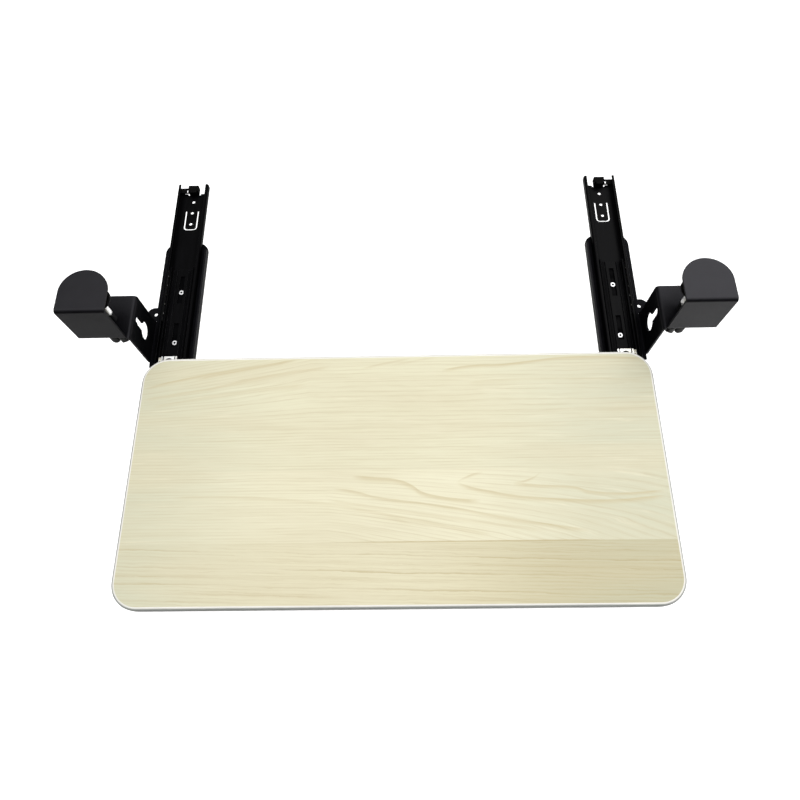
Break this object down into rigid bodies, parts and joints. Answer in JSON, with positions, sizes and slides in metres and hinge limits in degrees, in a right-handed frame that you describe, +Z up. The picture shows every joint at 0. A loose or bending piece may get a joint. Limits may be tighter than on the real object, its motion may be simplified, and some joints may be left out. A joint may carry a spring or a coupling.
{
  "type": "under desk keyboard tray",
  "caption": "Flat wooden keyboard tray on ball bearing slides, hung under a desk's front edge by screw clamps with folded steel arms.",
  "frame": {"origin": "on the desk top's upper front edge, midway between the two clamps", "axes": "+X to the user's right, +Y back under the desk and the way the tray slides in, +Z up"},
  "size_m": [0.801, 0.6184, 0.1452],
  "materials": {
    "maple_decor": "printed pale maple melamine, satin, grain along X",
    "chipboard": "raw particle board",
    "edge_band": "off-white PVC edge band",
    "powder_coat": "fine-textured matte black powder coat",
    "black_rail": "satin black electro-coated steel",
    "zinc_rail": "bright zinc plated steel",
    "zinc_plate": "zinc plated steel",
    "cage_steel": "stamped steel, blackened and greased",
    "ball_steel": "bearing steel under a film of dark grease",
    "pad_rubber": "soft black rubber",
    "knob_plastic": "moulded black plastic, satin",
    "white_nylon": "natural white nylon"
  },
  "bodies": {
    "root": {"left_clamp_bracket": "powder_coat", "left_clamp_pad": "pad_rubber", "left_clamp_nut": "powder_coat", "left_slide_bracket": "powder_coat", "left_foot_bolts": "zinc_plate", "left_foot_nuts": "zinc_plate", "left_outer_slide": "black_rail", "left_slide_screws": "zinc_plate", "left_slide_nuts": "zinc_plate", "left_slide_bumper": "pad_rubber", "right_clamp_bracket": "powder_coat", "right_clamp_pad": "pad_rubber", "right_clamp_nut": "powder_coat", "right_slide_bracket": "powder_coat", "right_foot_bolts": "zinc_plate", "right_foot_nuts": "zinc_plate", "right_outer_slide": "black_rail", "right_slide_screws": "zinc_plate", "right_slide_nuts": "zinc_plate", "right_slide_bumper": "pad_rubber"},
    "tray": {"tray_core": "chipboard", "tray_top_decor": "maple_decor", "tray_bottom_decor": "maple_decor", "tray_edge_band": "edge_band", "left_inner_slide": "zinc_rail", "left_rail_end_guide": "white_nylon", "left_tray_screws": "zinc_plate", "right_inner_slide": "zinc_rail", "right_rail_end_guide": "white_nylon", "right_tray_screws": "zinc_plate"},
    "left_outer_cage": {"left_outer_ball_cage": "cage_steel", "left_outer_balls": "ball_steel"},
    "left_middle_rail": {"left_middle_slide": "black_rail"},
    "left_inner_cage": {"left_inner_ball_cage": "cage_steel", "left_inner_balls": "ball_steel"},
    "left_pressure_foot": {"left_pressure_plate": "powder_coat", "left_pressure_pad": "pad_rubber"},
    "left_clamp_spindle": {"left_clamp_screw": "zinc_plate", "left_star_knob": "knob_plastic"},
    "right_outer_cage": {"right_outer_ball_cage": "cage_steel", "right_outer_balls": "ball_steel"},
    "right_middle_rail": {"right_middle_slide": "black_rail"},
    "right_inner_cage": {"right_inner_ball_cage": "cage_steel", "right_inner_balls": "ball_steel"},
    "right_pressure_foot": {"right_pressure_plate": "powder_coat", "right_pressure_pad": "pad_rubber"},
    "right_clamp_spindle": {"right_clamp_screw": "zinc_plate", "right_star_knob": "knob_plastic"}
  },
  "joints": [
    {"name": "tray_slide", "type": "slide", "parent": "root", "child": "tray", "axis": [0, 1, 0], "range_m": [0, 0.264]},
    {"name": "left_outer_cage_slide", "type": "slide", "parent": "root", "child": "left_outer_cage", "axis": [0, 1, 0], "range_m": [0, 0.066]},
    {"name": "left_middle_rail_slide", "type": "slide", "parent": "root", "child": "left_middle_rail", "axis": [0, 1, 0], "range_m": [0, 0.132]},
    {"name": "left_inner_cage_slide", "type": "slide", "parent": "root", "child": "left_inner_cage", "axis": [0, 1, 0], "range_m": [0, 0.198]},
    {"name": "left_clamp_travel", "type": "slide", "parent": "root", "child": "left_pressure_foot", "axis": [0, 0, 1], "range_m": [-0.033, 0.002]},
    {"name": "left_clamp_spin", "type": "hinge", "parent": "left_pressure_foot", "child": "left_clamp_spindle", "pos_m": [-0.361, 0.0255, -0.05], "axis": [0, 0, 1], "range_deg": [-7920, 480]},
    {"name": "right_outer_cage_slide", "type": "slide", "parent": "root", "child": "right_outer_cage", "axis": [0, 1, 0], "range_m": [0, 0.066]},
    {"name": "right_middle_rail_slide", "type": "slide", "parent": "root", "child": "right_middle_rail", "axis": [0, 1, 0], "range_m": [0, 0.132]},
    {"name": "right_inner_cage_slide", "type": "slide", "parent": "root", "child": "right_inner_cage", "axis": [0, 1, 0], "range_m": [0, 0.198]},
    {"name": "right_clamp_travel", "type": "slide", "parent": "root", "child": "right_pressure_foot", "axis": [0, 0, 1], "range_m": [-0.033, 0.002]},
    {"name": "right_clamp_spin", "type": "hinge", "parent": "right_pressure_foot", "child": "right_clamp_spindle", "pos_m": [0.361, 0.0255, -0.05], "axis": [0, 0, 1], "range_deg": [-7920, 480]}
  ],
  "couplings": [
    {"joint": "left_outer_cage_slide", "follows": "tray_slide", "ratio": 0.25},
    {"joint": "left_middle_rail_slide", "follows": "tray_slide", "ratio": 0.5},
    {"joint": "left_inner_cage_slide", "follows": "tray_slide", "ratio": 0.75},
    {"joint": "left_clamp_spin", "follows": "left_clamp_travel", "rad_per_m": 4188.8},
    {"joint": "right_outer_cage_slide", "follows": "tray_slide", "ratio": 0.25},
    {"joint": "right_middle_rail_slide", "follows": "tray_slide", "ratio": 0.5},
    {"joint": "right_inner_cage_slide", "follows": "tray_slide", "ratio": 0.75},
    {"joint": "right_clamp_spin", "follows": "right_clamp_travel", "rad_per_m": 4188.8}
  ]
}
